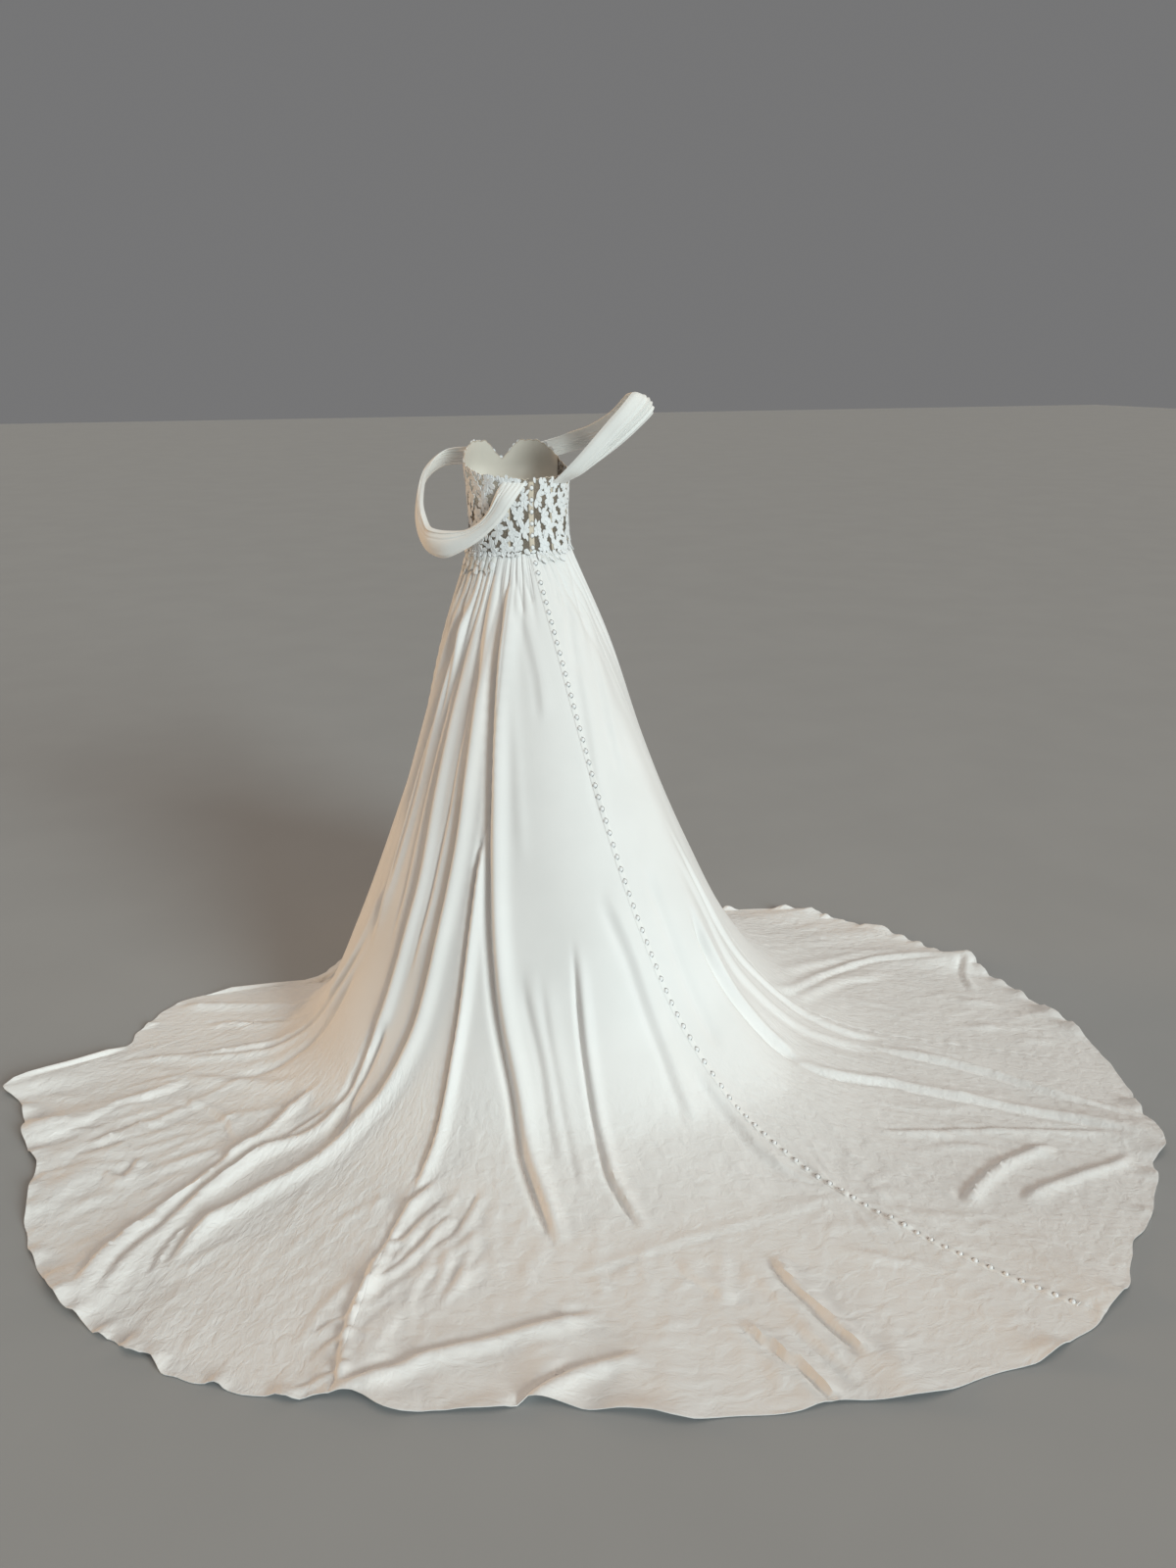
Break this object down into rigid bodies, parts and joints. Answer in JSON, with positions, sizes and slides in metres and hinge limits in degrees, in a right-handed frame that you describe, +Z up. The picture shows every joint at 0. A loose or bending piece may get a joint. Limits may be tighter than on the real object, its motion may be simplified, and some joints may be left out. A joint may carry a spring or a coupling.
{
  "type": "wedding dress",
  "caption": "Worn strapless wedding dress with no wearer: open lace bodice, two draped arm swags and a gathered crepe skirt whose long train fans out on the floor.",
  "frame": {"origin": "on the wearer's axis at the level of the waist seam, where the close waist holds the dress on the torso; the floor is 1.115 m below", "axes": "+Z up, +Y towards the wearer's back and the train, +X towards the wearer's left"},
  "size_m": [2.4007, 1.9926, 1.4668],
  "materials": {
    "ivory_crepe": "matte ivory crepe with a fine grain and a soft drape",
    "ivory_lace": "matte white corded flower lace on a fine net",
    "covered_buttons": "small domed buttons covered in satin-faced crepe"
  },
  "bodies": {
    "root": {"skirt_back_left": "ivory_crepe", "skirt_side_left": "ivory_crepe", "skirt_front": "ivory_crepe", "skirt_side_right": "ivory_crepe", "skirt_back_right": "ivory_crepe", "skirt_placket": "covered_buttons", "bodice_back_left": "ivory_lace", "bodice_front": "ivory_lace", "bodice_back_right": "ivory_lace", "bodice_placket": "covered_buttons", "waist_lace_left": "ivory_lace", "waist_lace_right": "ivory_lace", "swag_left": "ivory_crepe", "swag_right": "ivory_crepe"}
  },
  "joints": []
}
